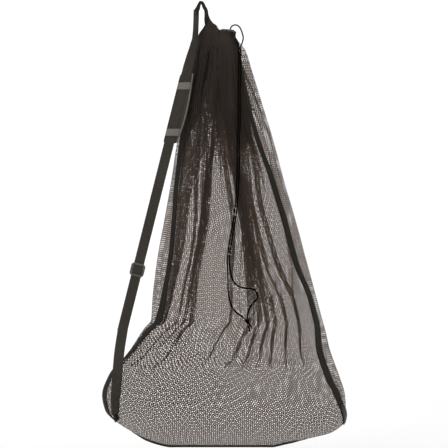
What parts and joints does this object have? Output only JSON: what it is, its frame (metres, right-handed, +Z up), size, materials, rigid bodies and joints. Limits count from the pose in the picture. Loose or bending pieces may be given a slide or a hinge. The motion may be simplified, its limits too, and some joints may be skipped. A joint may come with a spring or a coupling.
{
  "type": "mesh ball bag",
  "caption": "Large drawstring mesh bag for sports balls, gathered to a cord-cinched collar, with taped side seams and a padded adjustable shoulder strap.",
  "frame": {"origin": "underside of the strap's top loop, where it bears on the peg or hook that the bag hangs from", "axes": "+Z up, -Y towards the front of the bag, +X to the right seen from the front"},
  "size_m": [0.5408, 0.2322, 0.9939],
  "materials": {
    "mesh": "matte",
    "seam_tape": "satin",
    "edge_binding": "satin",
    "cord": "satin",
    "webbing": "satin",
    "corner_patch": "satin",
    "slider_plastic": "satin",
    "pad": "matte",
    "pad_trim": "satin",
    "thread": "matte"
  },
  "bodies": {
    "bag": {"front_mesh_panel": "mesh", "back_mesh_panel": "mesh", "left_seam_tape": "seam_tape", "right_seam_tape": "seam_tape", "bottom_seam_binding": "seam_tape", "drawcord_casing": "mesh", "mouth_edge_binding": "edge_binding", "drawcord_in_casing": "cord", "drawcord_top_loop": "cord", "drawcord_short_lead": "cord", "strap_top_loop": "webbing", "strap_collar_anchor": "webbing", "strap_main_webbing": "webbing", "strap_return_webbing": "webbing", "left_corner_tab": "seam_tape", "right_corner_tab": "corner_patch"},
    "pad": {"shoulder_pad": "pad", "pad_edge_binding": "pad_trim", "pad_band_upper": "pad_trim", "pad_band_lower": "pad_trim", "pad_bar_tacks": "thread"},
    "slider": {"strap_slider": "slider_plastic"},
    "hanging_drawcord": {"drawcord_left_strand": "cord", "drawcord_right_strand": "cord", "drawcord_knot": "cord", "drawcord_tails": "cord"}
  },
  "joints": [
    {"name": "pad_slide", "type": "slide", "parent": "bag", "child": "pad", "axis": [-0.2407, -0.0403, -0.9698], "range_m": [-0.05, 0.2]},
    {"name": "slider_slide", "type": "slide", "parent": "bag", "child": "slider", "axis": [-0.2407, -0.0403, -0.9698], "range_m": [0, 0.1]},
    {"name": "drawcord_swing", "type": "hinge", "parent": "bag", "child": "hanging_drawcord", "pos_m": [0.0858, -0.023, -0.099], "axis": [-1, 0, 0], "range_deg": [0, 50]}
  ]
}
